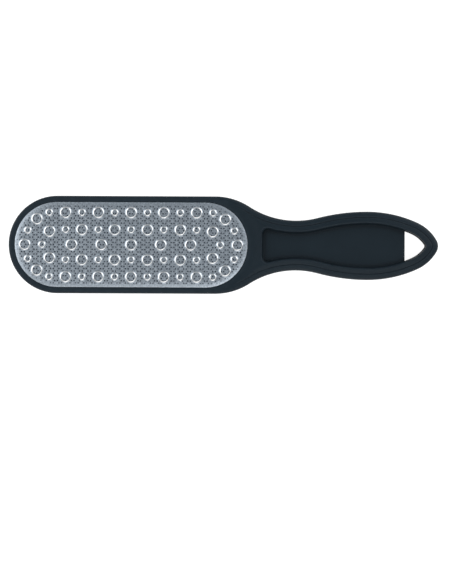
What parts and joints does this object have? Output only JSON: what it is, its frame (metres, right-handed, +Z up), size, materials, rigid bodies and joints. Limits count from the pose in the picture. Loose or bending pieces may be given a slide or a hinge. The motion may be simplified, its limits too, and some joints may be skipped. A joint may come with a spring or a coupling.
{
  "type": "foot rasp",
  "caption": "Flat double-sided foot rasp: a moulded paddle and hollowed grip with a hanging hole, a ring-studded coarse steel plate on one face and a fine etched plate on the other.",
  "frame": {"origin": "middle of the tool in plan, at the level of the faces it rests on", "axes": "+X along the tool towards the handle's tip, +Y across it, +Z up from the fine plate to the coarse plate"},
  "size_m": [0.26, 0.059, 0.012],
  "materials": {
    "body_plastic": "matte, fine moulded grain",
    "coarse_steel": "satin etched with raised pads and rings",
    "fine_steel": "satin etched with raised pads",
    "bonding_film": "matte"
  },
  "bodies": {
    "root": {"handle_body": "body_plastic", "coarse_plate": "coarse_steel", "fine_plate": "fine_steel", "coarse_plate_adhesive": "bonding_film", "fine_plate_adhesive": "bonding_film"}
  },
  "joints": []
}
